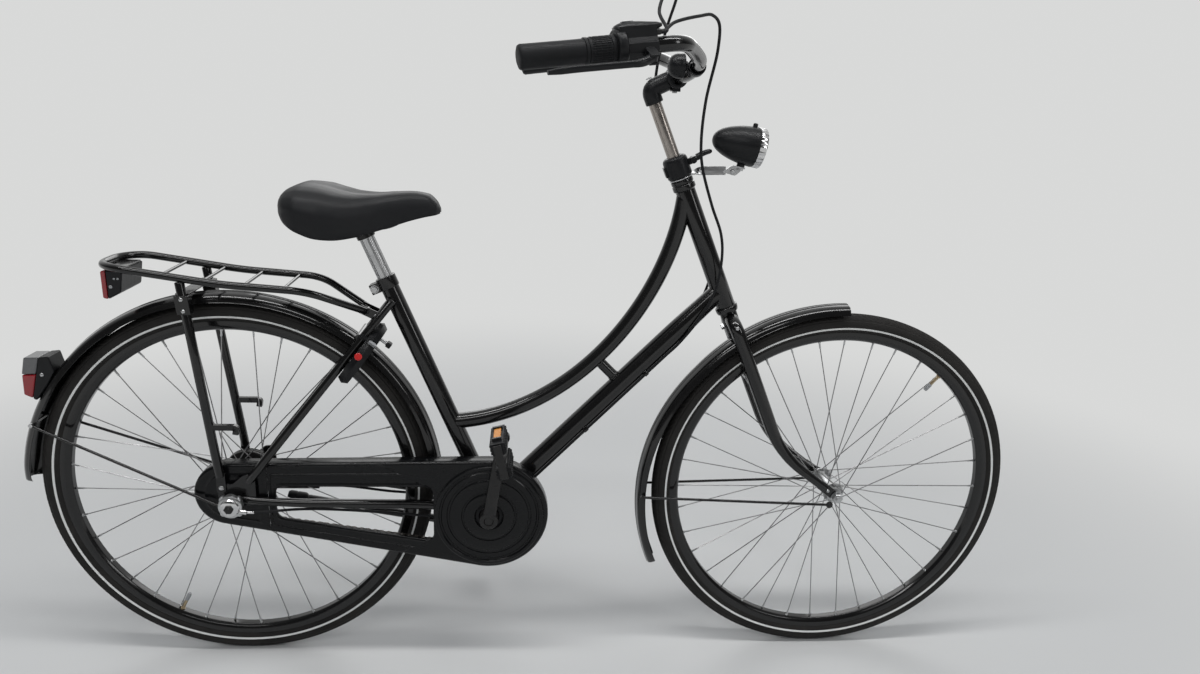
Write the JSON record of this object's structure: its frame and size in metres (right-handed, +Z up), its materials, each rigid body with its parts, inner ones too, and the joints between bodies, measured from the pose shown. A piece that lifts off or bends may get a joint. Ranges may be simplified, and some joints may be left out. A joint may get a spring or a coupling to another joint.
{
  "type": "dutch city bike",
  "caption": "Step-through city bike with a curved top tube, chain case, rear carrier, ring lock, mudguards, swept handlebar and spoked wheels.",
  "frame": {"origin": "on the ground, below the middle of the bike's length, in its middle plane", "axes": "+X forward, +Y to the rider's left, +Z up"},
  "size_m": [1.8468, 0.6504, 1.2474],
  "materials": {
    "black_paint": "gloss",
    "black_plastic": "satin",
    "rubber": "matte",
    "tyre": "matte",
    "silver": "satin",
    "chrome": "polished",
    "vinyl": "satin",
    "red_lens": "gloss",
    "clear_lens": "gloss",
    "chain_steel": "oiled"
  },
  "bodies": {
    "frame": {"seat_tube": "black_paint", "head_tube": "black_paint", "top_tube": "black_paint", "down_tube": "black_paint", "right_chainstay": "black_paint", "left_chainstay": "black_paint", "left_seatstay": "black_paint", "right_seatstay": "black_paint", "rear_axle": "silver", "rear_brake": "black_paint", "rear_mudguard": "black_paint", "rear_mudguard_stay": "black_paint", "carrier": "black_paint", "left_carrier_leg": "black_paint", "right_carrier_leg": "black_paint", "rear_light": "black_plastic", "rear_light_lens": "red_lens", "carrier_light": "black_plastic", "carrier_light_lens": "red_lens", "ring_lock": "black_plastic", "chain": "chain_steel", "chain_case": "black_paint", "chain_case_cap": "black_paint", "shift_cable": "rubber", "brake_cable": "rubber"},
    "kickstand": {"kickstand_leg": "black_paint"},
    "lock_bolt": {"ring_lock_bolt": "silver"},
    "seat": {"seatpost": "silver", "saddle_frame": "black_paint", "saddle": "vinyl"},
    "crankset": {"right_crank": "black_paint", "left_crank": "black_paint"},
    "rear_sprocket": {"sprocket": "silver"},
    "pedal_right": {"right_pedal": "rubber"},
    "pedal_left": {"left_pedal": "rubber"},
    "rear_wheel": {"rear_tyre": "tyre", "rear_rim": "black_paint", "rear_hub": "silver"},
    "steering": {"fork": "black_paint", "front_axle": "silver", "front_mudguard": "black_paint", "front_mudguard_stay": "black_paint", "headlamp": "black_plastic", "headlamp_lens": "clear_lens", "headlamp_bracket": "silver", "stem_collar": "black_plastic"},
    "front_wheel": {"front_tyre": "tyre", "front_rim": "black_paint", "front_hub": "silver"},
    "stem": {"stem_quill": "chrome", "stem_head": "black_plastic", "handlebar": "black_paint", "right_grip": "rubber", "left_grip": "rubber", "control_housing": "black_plastic", "bell": "black_plastic"},
    "stem_clamp_lever": {"stem_lever": "black_plastic"},
    "shifter": {"twist_grip": "rubber"},
    "brake": {"brake_lever": "black_plastic"},
    "bell_striker": {"bell_lever": "black_plastic"}
  },
  "joints": [
    {"name": "steering_turn", "type": "hinge", "parent": "frame", "child": "steering", "pos_m": [0.33948, 0, 0.70858], "axis": [-0.3971, 0, 0.9178], "range_deg": [-60, 60], "deforming": ["shift_cable", "brake_cable"]},
    {"name": "front_wheel_spin", "type": "hinge", "parent": "steering", "child": "front_wheel", "pos_m": [0.57344, 0, 0.35], "axis": [0, 1, 0], "continuous": true},
    {"name": "rear_wheel_spin", "type": "hinge", "parent": "frame", "child": "rear_wheel", "pos_m": [-0.54456, 0, 0.35], "axis": [0, 1, 0], "continuous": true},
    {"name": "crank_spin", "type": "hinge", "parent": "frame", "child": "crankset", "pos_m": [-0.08657, 0, 0.313], "axis": [0, 1, 0], "continuous": true},
    {"name": "sprocket_spin", "type": "hinge", "parent": "frame", "child": "rear_sprocket", "pos_m": [-0.54456, 0, 0.35], "axis": [0, 1, 0], "continuous": true},
    {"name": "right_pedal_spin", "type": "hinge", "parent": "crankset", "child": "pedal_right", "pos_m": [-0.06173, -0.145, 0.48118], "axis": [0, 1, 0], "continuous": true},
    {"name": "left_pedal_spin", "type": "hinge", "parent": "crankset", "child": "pedal_left", "pos_m": [-0.1114, 0.145, 0.14482], "axis": [0, 1, 0], "continuous": true},
    {"name": "seatpost_slide", "type": "slide", "parent": "frame", "child": "seat", "axis": [-0.3923, 0, 0.9198], "range_m": [-0.04, 0.08]},
    {"name": "stem_slide", "type": "slide", "parent": "steering", "child": "stem", "axis": [-0.3971, 0, 0.9178], "range_m": [-0.045, 0.04]},
    {"name": "stem_lever_turn", "type": "hinge", "parent": "steering", "child": "stem_clamp_lever", "pos_m": [0.25915, 0, 0.96976], "axis": [0, 1, 0], "range_deg": [-60, 0]},
    {"name": "brake_lever_turn", "type": "hinge", "parent": "stem", "child": "brake", "pos_m": [0.14139, -0.28072, 1.12583], "axis": [0.017, -0.5127, 0.8584], "range_deg": [-7, 0], "stiffness_Nm_per_rad": 2, "springref_deg": 2.86},
    {"name": "twist_grip_turn", "type": "hinge", "parent": "stem", "child": "shifter", "pos_m": [0.06997, -0.27182, 1.13256], "axis": [0.9583, 0.2532, 0.1323], "range_deg": [-40, 40]},
    {"name": "bell_lever_turn", "type": "hinge", "parent": "stem", "child": "bell_striker", "pos_m": [0.23595, -0.09691, 1.12056], "axis": [-0.9985, -0.052, 0.0142], "range_deg": [0, 30], "stiffness_Nm_per_rad": 0.02, "springref_deg": -5.73},
    {"name": "lock_bolt_turn", "type": "hinge", "parent": "frame", "child": "lock_bolt", "pos_m": [-0.31857, 0, 0.60567], "axis": [0.8028, 0, -0.5962], "range_deg": [0, 103]},
    {"name": "kickstand_turn", "type": "hinge", "parent": "frame", "child": "kickstand", "pos_m": [-0.15657, 0.045, 0.275], "axis": [-0.0897, -0.9016, -0.4231], "range_deg": [0, 62]}
  ],
  "couplings": [
    {"joint": "sprocket_spin", "follows": "crank_spin", "ratio": 2}
  ]
}
